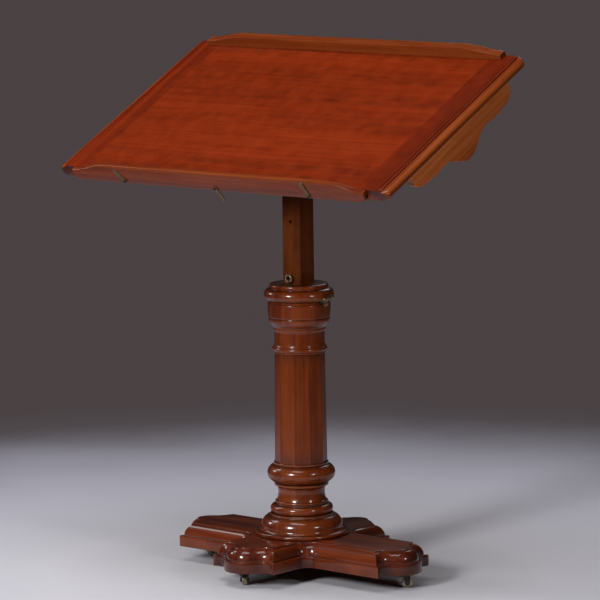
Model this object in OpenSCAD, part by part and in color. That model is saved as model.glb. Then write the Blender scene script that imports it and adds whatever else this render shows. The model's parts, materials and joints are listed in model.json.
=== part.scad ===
// Adjustable album and reading stand: a tilting desk on a rising post, a turned column
// and a moulded cross-shaped base on four swivel castors. Millimetres, +Z up.
// The reader stands on the -Y side. The origin is on the floor, in the middle of the
// space that the stand takes up, and the column stands a little behind it.

/* [Desk] */
// Width of the desk board, side to side
desk_w = 740; // [560:5:960]
// Depth of the desk board, front to back
desk_d = 415; // [330:5:560]
// Thickness of the desk board
board_t = 19; // [14:1:26]
// Width of each cross-grained end board
end_w = 62; // [40:1:90]
// Slope of the desk as it stands
tilt = 28; // [0:1:40]
// Distance of the column behind the middle of the footprint
column_back = 20; // [0:1:60]

/* [Ledge and rail] */
// Height of the front ledge above the board
ledge_rise = 14; // [8:1:30]
// Thickness of the front ledge
ledge_t = 10; // [6:1:16]
// Distance from the ends of the ledge to the ends of the board
ledge_margin = 42; // [20:1:80]
// Length of the curve at each end of the ledge and the rail
ogee_run = 82; // [30:1:100]
// Height of the back rail above the board
rail_rise = 20; // [10:1:36]
// Thickness of the back rail
rail_t = 16; // [10:1:24]
// Distance from the ends of the rail to the ends of the board
rail_margin = 38; // [20:1:80]

/* [Side aprons] */
// Depth of the apron at its middle lobe
apron_drop = 58; // [45:1:70]
// Depth of the apron at its waist
apron_waist = 31; // [20:1:38]
// Thickness of an apron
apron_t = 15; // [10:1:20]
// Half of the apron's length
apron_half = 146; // [125:1:160]
// Distance of the apron's middle behind the desk's middle
apron_shift = 10; // [-20:1:20]

/* [Bearers and pivot] */
// Height of the pivot's axis above the floor
pivot_z = 758; // [640:1:1000]
// Distance from the pivot's axis up to the underside of the board
pivot_drop = 34; // [30:1:60]
// Thickness of a bearer
bearer_t = 22; // [16:1:30]
// How far a bearer reaches below the pivot's axis
bearer_below = 20; // [14:1:30]
// Half of a bearer's length
bearer_half = 150; // [90:1:160]
// Radius of the pivot bolt
bolt_r = 5; // [4:0.5:7]

/* [Post] */
// Width of the square post
post_w = 40; // [32:1:44]
// Chamfer on the post's edges
post_chamfer = 2.5; // [1:0.5:5]
// Height of the post's lower end above the floor
post_foot_z = 240; // [225:1:330]
// Distance between the holes for the ring pin
hole_pitch = 104; // [80:1:130]
// Radius of the ring pin
pin_r = 3; // [2:0.5:4]

/* [Column] */
// Height of the capital's top above the floor
column_top = 507; // [470:1:620]
// Height of the joint between the shaft and the capital
capital_z = 431; // [400:1:445]
// Height of the joint between the foot and the shaft
shaft_z = 159; // [150:1:175]
// Number of flat sides on the shaft
shaft_sides = 10; // [6:1:12]
// Radius over the shaft's corners at the bottom
shaft_r_low = 45.7; // [42:0.1:52]
// Radius over the shaft's corners at the top
shaft_r_high = 43.7; // [41:0.1:50]
// Turn of the shaft's corners about the column
shaft_turn = 7; // [0:1:36]
// Radius of the tenons that join the column's turned pieces
tenon_r = 22; // [16:1:26]

/* [Base] */
// Reach of a side arm of the base
arm_x = 256; // [200:1:330]
// Reach of a front or back arm of the base
arm_y = 184; // [150:1:260]
// Half of an arm's width
arm_half = 68; // [58:1:72]
// Height of the upright edge of the base
plinth_h = 20; // [14:1:26]
// Height of the rounded edge above it
ovolo_h = 22; // [14:1:28]
// Radius of the round lobe at an arm's end
lobe_r = 40; // [36:1:44]
// Radius of the hollow on each side of the lobe
cove_r = 24; // [20:1:28]
// Radius in the corners between the arms
inner_r = 20; // [12:1:30]

/* [Castors] */
// Radius of a castor wheel
wheel_r = 9.5; // [8:0.5:14]
// Width of a castor wheel
wheel_w = 9; // [6:0.5:12]
// Distance of the wheel's axle behind the swivel
trail = 9; // [6:0.5:12]
// Distance from an arm's tip back to its castor
castor_inset = 32; // [26:1:40]

/* [Brass fittings] */
// Length of a page clip between its round ends' centres
clip_len = 24; // [16:1:40]
// Width of a page clip
clip_w = 8; // [5:0.5:12]
// Distance of the outer page clips from the middle
clip_x = 208; // [120:1:280]

/* [Hidden] */
$fn = 48;

// Colours
mahogany = [0.42, 0.17, 0.08];
mahogany_dark = [0.33, 0.12, 0.06];
mahogany_light = [0.50, 0.23, 0.11];
brass = [0.62, 0.52, 0.30];
iron = [0.16, 0.15, 0.14];

// Clearances
run_gap = 0.05;   // radial, for a pin or a bolt that turns or slides in its hole
side_gap = 0.3;   // between the faces of two pieces that move past each other
glue_gap = 0.1;   // radial, for a glued tenon in its mortise

// Heights of the castor, from the floor up
fork_crown_t = 3.6;
castor_plate_t = 2.5;
crown_clear = 1.6;
crown_z = 2 * wheel_r + crown_clear;
plate_z = crown_z + fork_crown_t + side_gap;
base_z = plate_z + castor_plate_t;
base_top = base_z + plinth_h + ovolo_h;

// Desk, measured square to its slope from the pivot's axis
board_low = pivot_drop;
board_high = board_low + board_t;
front_v = -desk_d / 2;
back_v = desk_d / 2;
panel_half = desk_w / 2 - end_w;

// Column
socket_w = post_w + 2 * side_gap;
pin_z = column_top + pin_r + 0.8;
spigot_r = 34;
spigot_h = 20;
clamp_z = column_top - 25;
washer_t = 2;
bolt_half = post_w / 2 + side_gap + bearer_t;

// Points along an arc about c, from angle a to angle b, in n steps
function arc(c, r, a, b, n) =
    [for (k = [0 : n]) c + r * [cos(a + (b - a) * k / n), sin(a + (b - a) * k / n)]];

// A smooth fall from 1 to 0 as x goes from 0 to run, level beyond both ends
function fall(x, run) = 0.5 + 0.5 * cos(180 * min(max(x / run, 0), 1));

// Places a piece on the column's axis
module on_column() translate([0, column_back, 0]) children();

// Places a piece in the desk's own frame: x to the side, y up the slope, z square to it
module on_desk() translate([0, column_back, pivot_z]) rotate([tilt, 0, 0]) children();

// A cylinder from p along +X, +Y or +Z
module rod_x(p, r, h) translate(p) rotate([0, 90, 0]) cylinder(h = h, r = r);
module rod_y(p, r, h) translate(p) rotate([-90, 0, 0]) cylinder(h = h, r = r);
module rod_z(p, r, h) translate(p) cylinder(h = h, r = r);

// ---- Base ----------------------------------------------------------------------

// Half of an arm's end, for an arm along +X: the lobe from its tip, then the hollow
// beside it, up to the sharp corner. inset moves the whole outline inwards.
lobe_angle = 60;
function arm_end(reach, inset) =
    let (
        lobe_c = [reach - lobe_r, 0],
        cove_c = lobe_c + (lobe_r + cove_r) * [cos(lobe_angle), sin(lobe_angle)],
        r = cove_r + inset,
        rise = arm_half - inset - cove_c[1],
        corner = 180 - asin(rise / r)
    )
    concat(
        arc(lobe_c, lobe_r - inset, 0, lobe_angle, 6),
        [for (p = arc(cove_c, r, 180 + lobe_angle, corner, 5)) if (p != undef) p]
    );

function swap(points) = [for (k = [len(points) - 1 : -1 : 0]) [points[k][1], points[k][0]]];
function drop_first(points) = [for (k = [1 : len(points) - 1]) points[k]];
function mirror_x(points) =
    [for (k = [len(points) - 1 : -1 : 0]) [-points[k][0], points[k][1]]];
function turn_half(points) = [for (p = points) -p];

// A quarter of the cross, from the tip of the +X arm round to the tip of the +Y arm
function quarter(inset) = concat(
    arm_end(arm_x, inset),
    arc([arm_half + inner_r, arm_half + inner_r], inner_r + inset, 270, 180, 6),
    swap(arm_end(arm_y, inset))
);
function half_cross(inset) =
    let (q = quarter(inset)) concat(q, drop_first(mirror_x(q)));
function cross_outline(inset) =
    let (h = half_cross(inset)) concat(drop_first(h), drop_first(turn_half(h)));

// The rounded upper edge, as thin layers: a small step in, then a quarter-round
ovolo_step = 4.5;
ovolo_run = 17.5;
ovolo_layers = 5;
module ovolo_edge() for (k = [0 : ovolo_layers - 1]) {
    rise = asin((k + 0.5) / ovolo_layers);
    low = base_z + 2 + k;
    high = base_z + plinth_h + ovolo_h * (k + 1) / ovolo_layers;
    translate([0, 0, low]) linear_extrude(high - low)
        polygon(cross_outline(ovolo_step + ovolo_run * (1 - cos(rise))));
}

bolt_recess = 7;
tenon_floor = base_z + 13;
module base_platform() color(mahogany) on_column() difference() {
    union() {
        translate([0, 0, base_z]) linear_extrude(plinth_h) polygon(cross_outline(0));
        ovolo_edge();
    }
    rod_z([0, 0, tenon_floor], tenon_r + glue_gap, base_top);
    rod_z([0, 0, base_z - 1], centre_bolt_r + glue_gap, base_top);
    rod_z([0, 0, base_z - 1], 20, 1 + bolt_recess);
    for (c = castors) place_castor(c) {
        rod_z([0, 0, base_z - 1], swivel_r + 0.5, 14);
        castor_screw_holes(castor_screw_r, 11);
    }
}

// ---- Castors -------------------------------------------------------------------

// Each castor: its place from the column's axis and the way that its wheel trails
castors = [
    [[0, -(arm_y - castor_inset)], 131],
    [[arm_x - castor_inset, 0], 41],
    [[0, arm_y - castor_inset], 100],
    [[-(arm_x - castor_inset), 0], 41]
];
swivel_r = 3;
castor_plate_r = 15;
castor_screw_r = 1.5;
castor_screws_each = 3;
fork_cheek_t = 2;
fork_gap = 0.4;
axle_r = 2;
module place_castor(c) translate([c[0][0], c[0][1], 0]) rotate(c[1]) children();

module castor_screw_holes(r, depth)
    for (k = [0 : castor_screws_each - 1]) rotate(60 + 360 * k / castor_screws_each)
        rod_z([castor_plate_r - 4, 0, plate_z - 1], r, depth + castor_plate_t);

module castor_plates() color(brass) on_column() for (c = castors) place_castor(c)
    difference() {
        rod_z([0, 0, plate_z], castor_plate_r, castor_plate_t);
        rod_z([0, 0, plate_z - 1], swivel_r + run_gap, castor_plate_t + 2);
        castor_screw_holes(castor_screw_r, 2);
    }

castor_head_r = 2.6;
castor_head_t = 0.25;
module castor_screws() color(brass) on_column() for (c = castors) place_castor(c)
    for (k = [0 : castor_screws_each - 1]) rotate(60 + 360 * k / castor_screws_each)
        translate([castor_plate_r - 4, 0, 0]) {
            rod_z([0, 0, plate_z - castor_head_t], castor_head_r, castor_head_t);
            rod_z([0, 0, plate_z - castor_head_t], castor_screw_r, castor_plate_t + 9);
        }

module castor_fork(c) color(brass) on_column() place_castor(c) difference() {
    union() {
        rod_z([0, 0, crown_z], 9.5, fork_crown_t - 0.6);
        rod_z([0, 0, crown_z], 8, fork_crown_t);
        rod_z([0, 0, crown_z], swivel_r, fork_crown_t + castor_plate_t + 11);
        for (side = [-1, 1])
            translate([0, side * (wheel_w / 2 + fork_gap + fork_cheek_t / 2), 0])
                rotate([90, 0, 0]) linear_extrude(fork_cheek_t, center = true) {
                    translate([trail, wheel_r]) circle(r = 4.5);
                    translate([trail - 4.5, wheel_r])
                        square([9, crown_z - wheel_r + fork_crown_t - 0.6]);
                    translate([0, crown_z]) square([trail, fork_crown_t - 0.6]);
                }
    }
    rod_y([trail, -20, wheel_r], axle_r + run_gap, 40);
}

axle_half = wheel_w / 2 + fork_gap + fork_cheek_t;
module castor_axle(c) color(iron) on_column() place_castor(c) {
    rod_y([trail, -axle_half, wheel_r], axle_r, 2 * axle_half);
    for (side = [-1, 1])
        rod_y([trail, side * (axle_half + 0.4) - 0.4, wheel_r], 3, 0.8);
}

// The tread is a flat-crowned barrel with rounded shoulders, on a plain bore
module castor_wheel(c) color(brass) on_column() place_castor(c)
    translate([trail, 0, wheel_r]) rotate([90, 0, 0]) rotate_extrude() difference() {
        union() {
            translate([0, -wheel_w / 2]) square([wheel_r - 2, wheel_w]);
            translate([0, -wheel_w / 2 + 2]) square([wheel_r, wheel_w - 4]);
            for (side = [-1, 1]) translate([wheel_r - 2, side * (wheel_w / 2 - 2)]) circle(r = 2);
        }
        translate([-1, -wheel_w]) square([axle_r + run_gap + 1.03, 2 * wheel_w]);
    }

module castor_fork_front() castor_fork(castors[0]);
module castor_fork_right() castor_fork(castors[1]);
module castor_fork_back() castor_fork(castors[2]);
module castor_fork_left() castor_fork(castors[3]);
module castor_axle_front() castor_axle(castors[0]);
module castor_axle_right() castor_axle(castors[1]);
module castor_axle_back() castor_axle(castors[2]);
module castor_axle_left() castor_axle(castors[3]);
module castor_wheel_front() castor_wheel(castors[0]);
module castor_wheel_right() castor_wheel(castors[1]);
module castor_wheel_back() castor_wheel(castors[2]);
module castor_wheel_left() castor_wheel(castors[3]);

// ---- Column --------------------------------------------------------------------

// The turned foot: an edge bead, a hollow, a wide round, a small torus and a neck
module column_foot() color(mahogany) on_column() translate([0, 0, base_top])
    rotate_extrude($fn = 96) {
        top = shaft_z - base_top;
        polygon(concat(
            [[tenon_r + glue_gap, 0], [77.5, 0]],
            arc([77.5, 4], 4, -80, 80, 6),
            arc([78, 14], 7, 250, 190, 4),
            arc([50, 14], 21, 0, 65, 7),
            [[55, 33.4], [55, 36.5]],
            arc([46, 44.5], 8.5, -65, 75, 8),
            [[44.5, 53.4], [44.5, 54.6]],
            arc([43.5, 57], 2.5, -60, 70, 5),
            [[42.2, 62], [41.1, 68], [40.6, 75], [41.4, top - 8], [44, top - 4.5]],
            [[47, top - 4], [47, top - 1], [45.5, top], [tenon_r + glue_gap, top]]
        ));
    }

// The shaft: a torus, the tapering flat-sided length, a ring, a neck and a spigot
module column_shaft() color(mahogany) on_column() difference() {
    union() {
        rotate_extrude($fn = 96) polygon(concat(
            [[0, shaft_z], [45.4, shaft_z]],
            arc([43, shaft_z + 17], 16, -80, 80, 12),
            [[47.5, shaft_z + 33], [47.5, shaft_z + 36.5], [0, shaft_z + 36.5]]
        ));
        translate([0, 0, shaft_z + 36]) rotate(shaft_turn)
            cylinder(h = capital_z - 43 - shaft_z - 36, r1 = shaft_r_low, r2 = shaft_r_high,
                $fn = shaft_sides);
        rotate_extrude($fn = 96) polygon(concat(
            [[0, capital_z - 44], [44.8, capital_z - 44], [45.5, capital_z - 42]],
            arc([43.6, capital_z - 37], 4.2, -60, 60, 6),
            [[45.5, capital_z - 32], [44, capital_z - 30], [43.4, capital_z - 20]],
            [[43.8, capital_z - 6], [44.9, capital_z - 4.5], [44.9, capital_z], [0, capital_z]]
        ));
        rod_z([0, 0, capital_z - 1], spigot_r, spigot_h + 1);
        rod_z([0, 0, tenon_floor + 1], tenon_r, shaft_z - tenon_floor);
    }
    translate([-socket_w / 2, -socket_w / 2, post_foot_z - 15])
        cube([socket_w, socket_w, column_top]);
    rod_z([0, 0, tenon_floor], centre_bolt_r + run_gap, 60);
}

// The capital: a cup, a groove, a wide torus and a ring round the socket's mouth
clamp_bush_r = 6;
module capital() color(mahogany) on_column() difference() {
    rotate_extrude($fn = 96) translate([0, column_top]) polygon(concat(
        [[0, capital_z - column_top], [45, capital_z - column_top]],
        arc([36.5, capital_z - column_top + 16], 16.5, -58, 0, 7),
        [[51.8, capital_z - column_top + 16.2], [51.8, capital_z - column_top + 17.6]],
        [[53.2, capital_z - column_top + 18.4], [54.5, -38], [54.6, -34.8], [54.1, -33.9]],
        [[52.4, -33.3], [51.8, -32.2], [51.9, -29.4]],
        arc([49.8, -18.4], 10.8, -80, 80, 10),
        [[51.2, -7.2], [51, -4]],
        arc([47.4, -3.6], 3.6, 0, 90, 5),
        [[0, 0]]
    ));
    rod_z([0, 0, capital_z - 1], spigot_r + glue_gap, 1 + spigot_h + glue_gap);
    translate([-socket_w / 2, -socket_w / 2, capital_z])
        cube([socket_w, socket_w, column_top]);
    rod_x([0, 0, clamp_z], screw_r + 1, 80);
    rod_x([clamp_bush_x, 0, clamp_z], clamp_bush_r + glue_gap, 60);
}

// A coach bolt from below pulls the column's tenon down into the base
centre_bolt_r = 5;
centre_washer_t = 2.5;
module centre_bolt() color(iron) on_column() {
    head_z = base_z + bolt_recess - centre_washer_t;
    rod_z([0, 0, head_z], centre_bolt_r, 55);
    translate([0, 0, head_z - 4]) cylinder(h = 4, r = 9, $fn = 6);
}

module centre_washer() color(iron) on_column() difference() {
    rod_z([0, 0, base_z + bolt_recess - centre_washer_t], 17, centre_washer_t);
    rod_z([0, 0, base_z], centre_bolt_r + run_gap, 20);
}

// ---- Height clamp --------------------------------------------------------------

screw_r = 3;
clamp_bush_x = 36;
clamp_bush_len = 16;
module clamp_bush() color(brass) on_column() difference() {
    rod_x([clamp_bush_x, 0, clamp_z], clamp_bush_r, clamp_bush_len);
    rod_x([0, 0, clamp_z], screw_r + run_gap, 80);
}

// Two flat ears on a hub, for a thumbscrew or a wing nut along +X
module wings(hub_r, hub_len, ear_r, ear_out, ear_x, ear_t) {
    rod_x([0, 0, 0], hub_r, hub_len);
    for (side = [-1, 1]) {
        translate([ear_x, side * ear_out, 0]) cylinder(h = ear_t, r = ear_r, center = true);
        translate([ear_x - ear_r / 2, side * ear_out / 2, 0])
            cube([ear_r, ear_out, ear_t], center = true);
    }
}

module clamp_screw() color(brass) on_column() translate([0, 0, clamp_z]) {
    tip = post_w / 2 + 2 * side_gap;
    rod_x([tip, 0, 0], screw_r, 62 - tip);
    rod_x([57.5, 0, 0], 5.5, 2.5);
    translate([59, 0, 0]) rotate([37, 0, 0]) wings(4, 7, 5.5, 8.5, 8, 2.6);
}

// ---- Post ----------------------------------------------------------------------

post_top = pivot_z + 16;
module post() color(mahogany_dark) on_column() difference() {
    h = post_w / 2;
    c = post_chamfer;
    translate([0, 0, post_foot_z]) linear_extrude(post_top - post_foot_z) polygon([
        [-h + c, -h], [h - c, -h], [h, -h + c], [h, h - c],
        [h - c, h], [-h + c, h], [-h, h - c], [-h, -h + c]
    ]);
    for (k = [-2 : 1]) rod_y([0, -post_w, pin_z + k * hole_pitch], pin_r + run_gap, 2 * post_w);
    rod_x([-post_w, 0, pivot_z], bolt_r + run_gap, 2 * post_w);
}

// The ring pin goes through the post and rests on the capital
pin_out = post_w / 2 + 7;
pin_tip = 4;
eye_w = 3;
module ring_pin() color(brass) on_column() difference() {
    union() {
        rod_y([0, -pin_out, pin_z], pin_r, pin_out + post_w / 2 + pin_tip);
        rod_y([0, -post_w / 2 - 2.3, pin_z], pin_r + 0.4, 2);
        rod_x([-eye_w / 2, -pin_out, pin_z], pin_r + 0.4, eye_w);
    }
    for (side = [-1, 1]) translate([side * (eye_w / 2 + 5), -pin_out, pin_z])
        cube([10, 2 * pin_r + 1, 3 * pin_r], center = true);
    rod_x([-10, -pin_out, pin_z], ring_wire + 0.45, 20);
}

ring_r = 6;
ring_wire = 2;
module pull_ring() color(brass) on_column()
    translate([0, -pin_out, pin_z + ring_r]) rotate([90, 0, 0])
        rotate_extrude() translate([ring_r, 0]) circle(r = ring_wire, $fn = 24);

// ---- Desk pivot ----------------------------------------------------------------

bolt_head_t = 6;
nut_len = 10;
module pivot_bolt() color(iron) on_desk() {
    rod_x([-bolt_half - washer_t - bolt_head_t, 0, 0], 9, bolt_head_t);
    rod_x([-bolt_half - washer_t - 1, 0, 0], bolt_r, 2 * (bolt_half + washer_t) + nut_len + 5);
}

module pivot_washers() color(brass) on_desk() for (x = [-bolt_half - washer_t, bolt_half])
    difference() {
        rod_x([x, 0, 0], 13, washer_t);
        rod_x([x - 1, 0, 0], bolt_r + run_gap, washer_t + 2);
    }

module wing_nut() color(brass) on_desk()
    translate([bolt_half + washer_t + side_gap, 0, 0]) difference() {
        rotate([20, 0, 0]) wings(8, nut_len, 8, 14, 9, 3);
        rod_x([-1, 0, 0], bolt_r + run_gap, 40);
    }

// ---- Desk ----------------------------------------------------------------------

// Tongue on the panel's ends and the matching groove in the end boards
tongue_t = 6;
tongue_len = 8;
tongue_gap = 0.1;
board_mid = board_low + board_t / 2;

screw_depth = 12;
module desk_panel() color(mahogany) on_desk() difference() {
    union() {
        translate([-panel_half, front_v, board_low]) cube([2 * panel_half, desk_d, board_t]);
        translate([-panel_half - tongue_len, front_v + 20, board_mid - tongue_t / 2])
            cube([2 * (panel_half + tongue_len), desk_d - 40, tongue_t]);
    }
    for (p = bearer_screw_places) rod_z([p[0], p[1], 0], wood_screw_r, board_low + screw_depth);
    for (p = rail_screw_places) rail_screw_space(p);
}

// An end board, with a sunk line and a rounded nose along its outer edge
nose_r = (board_t - 2.5) / 2;
nose_run = 13;
module desk_end(side) color(mahogany_light) on_desk() difference() {
    rotate([90, 0, 0]) linear_extrude(desk_d, center = true) mirror([side < 0 ? 1 : 0, 0]) {
        edge = desk_w / 2;
        translate([panel_half, board_low]) square([end_w - nose_run, board_t]);
        translate([panel_half, board_low]) square([end_w - nose_r, 2 * nose_r]);
        translate([edge - nose_r, board_low + nose_r]) circle(r = nose_r);
    }
    translate([side * panel_half, 0, board_mid]) cube([
        2 * (tongue_len + tongue_gap), desk_d - 40 + 2 * tongue_gap, tongue_t + 2 * tongue_gap
    ], center = true);
}
module desk_end_left() desk_end(-1);
module desk_end_right() desk_end(1);

// A straight strip whose top falls in a soft double curve at both ends
module shaped_strip(half, full_h, end_h, thick) {
    steps = 10;
    right = [for (k = [0 : steps])
        let (x = half - ogee_run + ogee_run * k / steps)
        [x, end_h + (full_h - end_h) * fall(x - half + ogee_run, ogee_run)]];
    rotate([90, 0, 0]) linear_extrude(thick) polygon(concat(
        [[-half, 0], [half, 0]],
        [for (k = [steps : -1 : 0]) right[k]],
        [for (k = [0 : steps]) [-right[k][0], right[k][1]]]
    ));
}

ledge_half = desk_w / 2 - ledge_margin;
ledge_low = board_low;
module front_ledge() color(mahogany) on_desk() difference() {
    translate([0, front_v, ledge_low])
        shaped_strip(ledge_half, board_t + ledge_rise, board_t, ledge_t);
    for (c = clips) rod_y([c[0], front_v - ledge_t - 1, clip_axis], clip_screw_r, 9);
}

rail_half = desk_w / 2 - rail_margin;
rail_end_h = 9;
module back_rail() color(mahogany) on_desk() difference() {
    translate([0, back_v, board_high]) shaped_strip(rail_half, rail_rise, rail_end_h, rail_t);
    for (p = rail_screw_places) rod_z([p[0], p[1], board_low], wood_screw_r, board_t + 7);
}

// The scroll-cut apron under each side, with a middle lobe and a shallow lobe beyond it
apron_set_back = 6;
lobe_run = 62;
apron_end_r = 26;
apron_nib = 9;
function apron_depth(v) =
    let (u = abs(v), past = u - lobe_run, span = apron_half - apron_end_r - lobe_run)
    u < lobe_run ? apron_waist + (apron_drop - apron_waist) * fall(u, lobe_run)
    : u < apron_half - apron_end_r ? apron_waist + 2.5 * (1 - fall(2 * min(past, span - past), span))
    : apron_nib + (apron_waist - apron_nib)
        * sqrt(max(1 - pow((u - apron_half + apron_end_r) / apron_end_r, 2), 0));
module side_apron(side) color(mahogany_light) on_desk() {
    steps = 60;
    x = side * (desk_w / 2 - apron_set_back - apron_t / 2);
    translate([x, apron_shift, board_low]) rotate([90, 0, 90])
        linear_extrude(apron_t, center = true)
        polygon(concat(
            [for (k = [0 : steps])
                let (v = -apron_half + 2 * apron_half * k / steps) [v, -apron_depth(v)]],
            [[apron_half, 0], [-apron_half, 0]]
        ));
}
module side_apron_left() side_apron(-1);
module side_apron_right() side_apron(1);

// A bearer on each side of the post, with the pivot bolt through it
wood_screw_r = 2;
screw_head_r = 4;
screw_pocket = 26;
bearer_mid = post_w / 2 + side_gap + bearer_t / 2;
bearer_screw_places = [for (x = [-bearer_mid, bearer_mid]) for (v = [-1, -0.4, 0.4, 1])
    [x, v * (bearer_half - 22)]];
module bearer(side) color(mahogany_dark) on_desk() difference() {
    translate([side * bearer_mid, 0, 0]) rotate([90, 0, 90])
        linear_extrude(bearer_t, center = true) polygon([
            [-bearer_half, board_low], [-bearer_half, board_low - 16],
            [-42, -bearer_below], [42, -bearer_below],
            [bearer_half, board_low - 16], [bearer_half, board_low]
        ]);
    rod_x([-60, 0, 0], bolt_r + run_gap, 120);
    for (p = bearer_screw_places) {
        rod_z([p[0], p[1], -60], wood_screw_r, 120);
        rod_z([p[0], p[1], -60], screw_head_r + 0.5, 60 + board_low - 10);
    }
}
module bearer_left() bearer(-1);
module bearer_right() bearer(1);

// A round-headed wood screw standing on its head at the origin
module wood_screw(len) {
    rod_z([0, 0, 0], wood_screw_r, len);
    rod_z([0, 0, -2.5], screw_head_r, 2.5);
}

module bearer_screws() color(brass) on_desk() for (p = bearer_screw_places)
    translate([p[0], p[1], board_low - 10]) wood_screw(10 + screw_depth - 1);

// Screws up through the board into the back rail, with their heads sunk
rail_screws_n = 5;
rail_screw_places = [for (k = [0 : rail_screws_n - 1])
    [(k / (rail_screws_n - 1) - 0.5) * 2 * (rail_half - ogee_run - 20), back_v - rail_t / 2]];
module rail_screw_space(p) {
    rod_z([p[0], p[1], 0], wood_screw_r, 100);
    rod_z([p[0], p[1], 0], screw_head_r + 0.5, board_low + 4);
}
module rail_screws() color(brass) on_desk() for (p = rail_screw_places)
    translate([p[0], p[1], board_low + 4]) wood_screw(board_t + 2);

// ---- Page clips ----------------------------------------------------------------

// Each clip: how far along the ledge it is, and how far it leans from upright
clips = [[-clip_x, -40], [0, 152], [clip_x, -20]];
clip_axis = board_low + 5;
clip_t = 1.5;
clip_screw_r = 1.5;
clip_face = front_v - ledge_t - side_gap;
module page_clip(c) color(brass) on_desk() translate([c[0], clip_face, clip_axis])
    rotate([0, c[1], 0]) rotate([90, 0, 0]) linear_extrude(clip_t) difference() {
        union() {
            circle(r = clip_w / 2);
            translate([-clip_w / 2, 0]) square([clip_w, clip_len]);
            translate([0, clip_len]) circle(r = clip_w / 2);
        }
        circle(r = clip_screw_r + run_gap);
    }
module page_clip_left() page_clip(clips[0]);
module page_clip_centre() page_clip(clips[1]);
module page_clip_right() page_clip(clips[2]);

module clip_screws() color(brass) on_desk() for (c = clips) {
    rod_y([c[0], clip_face - clip_t - side_gap, clip_axis], clip_screw_r, 8);
    rod_y([c[0], clip_face - clip_t - side_gap - 1.4, clip_axis], 2.8, 1.4);
}

base_platform();
castor_plates();
castor_screws();
castor_fork_front();
castor_fork_right();
castor_fork_back();
castor_fork_left();
castor_axle_front();
castor_axle_right();
castor_axle_back();
castor_axle_left();
castor_wheel_front();
castor_wheel_right();
castor_wheel_back();
castor_wheel_left();
column_foot();
column_shaft();
capital();
centre_bolt();
centre_washer();
clamp_bush();
clamp_screw();
post();
ring_pin();
pull_ring();
pivot_bolt();
pivot_washers();
wing_nut();
desk_panel();
desk_end_left();
desk_end_right();
front_ledge();
back_rail();
side_apron_left();
side_apron_right();
bearer_left();
bearer_right();
bearer_screws();
rail_screws();
page_clip_left();
page_clip_centre();
page_clip_right();
clip_screws();
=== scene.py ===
import json
import math
import bmesh
import bpy
from mathutils import Matrix, Vector


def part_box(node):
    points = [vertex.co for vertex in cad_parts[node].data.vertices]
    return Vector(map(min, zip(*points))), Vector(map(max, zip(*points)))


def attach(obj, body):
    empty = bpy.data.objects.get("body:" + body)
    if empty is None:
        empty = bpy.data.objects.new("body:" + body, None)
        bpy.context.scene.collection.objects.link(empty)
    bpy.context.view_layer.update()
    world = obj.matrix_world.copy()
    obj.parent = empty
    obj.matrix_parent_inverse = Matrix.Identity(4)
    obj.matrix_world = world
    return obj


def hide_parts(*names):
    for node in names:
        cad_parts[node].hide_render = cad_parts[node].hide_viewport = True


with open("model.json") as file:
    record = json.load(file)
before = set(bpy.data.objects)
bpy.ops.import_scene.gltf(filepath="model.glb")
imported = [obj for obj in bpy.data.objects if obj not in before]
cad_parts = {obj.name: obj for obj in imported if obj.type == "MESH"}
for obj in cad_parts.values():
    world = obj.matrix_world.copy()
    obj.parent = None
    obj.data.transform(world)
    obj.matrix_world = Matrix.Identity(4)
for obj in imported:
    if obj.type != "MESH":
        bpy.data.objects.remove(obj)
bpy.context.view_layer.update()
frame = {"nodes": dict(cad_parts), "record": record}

scene = bpy.context.scene
mm = 0.001


# ---- Studio --------------------------------------------------------------------
# A pale floor whose colour is painted darker away from the stand, a painted pool of light
# that falls off until it meets a grey wall, six soft boxes round it, and a camera that
# looks a little down from its front right.
foot_low, foot_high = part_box("column_foot")
axis_y = (foot_low.y + foot_high.y) / 2
wall_colour = (0.068, 0.054, 0.056)


def node_in(tree, kind, inputs=(), **settings):
    """Adds a node, sets its properties, and links or sets its inputs by name or place."""
    made = tree.nodes.new(kind)
    for key, value in settings.items():
        setattr(made, key, value)
    for key, value in dict(inputs).items():
        socket = made.inputs[key]
        if isinstance(value, bpy.types.NodeSocket):
            tree.links.new(value, socket)
        else:
            socket.default_value = value
    return made


def maths(tree, operation, *values):
    """The result of a Math node on sockets or numbers."""
    return node_in(tree, "ShaderNodeMath", dict(enumerate(values)), operation=operation).outputs[0]


def ranged(tree, value, low, high, to_low=0.0, to_high=1.0, **settings):
    """A value moved from the range low to high into another range, and held inside it."""
    return node_in(tree, "ShaderNodeMapRange", {
        "Value": value, "From Min": low, "From Max": high, "To Min": to_low, "To Max": to_high},
        **settings).outputs[0]


def blank_material(name):
    """A material with an empty tree, and its output node."""
    made = bpy.data.materials.new(name)
    made.use_nodes = True
    made.node_tree.nodes.clear()
    return made, made.node_tree, made.node_tree.nodes.new("ShaderNodeOutputMaterial")


def ramp(tree, factor, *stops):
    """A colour ramp from factor, with stops of (place, colour)."""
    made = node_in(tree, "ShaderNodeValToRGB", {0: factor})
    band = made.color_ramp
    band.elements[0].position, band.elements[0].color = stops[0][0], (*stops[0][1], 1)
    band.elements[1].position, band.elements[1].color = stops[-1][0], (*stops[-1][1], 1)
    for place, colour in stops[1:-1]:
        band.elements.new(place).color = (*colour, 1)
    return made.outputs[0]


def circle(radius, sides, height=0.0):
    """Points round the upright axis of the stand."""
    turns = (k * math.tau / sides for k in range(sides))
    return [(radius * math.cos(a), axis_y + radius * math.sin(a), height) for a in turns]


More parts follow.
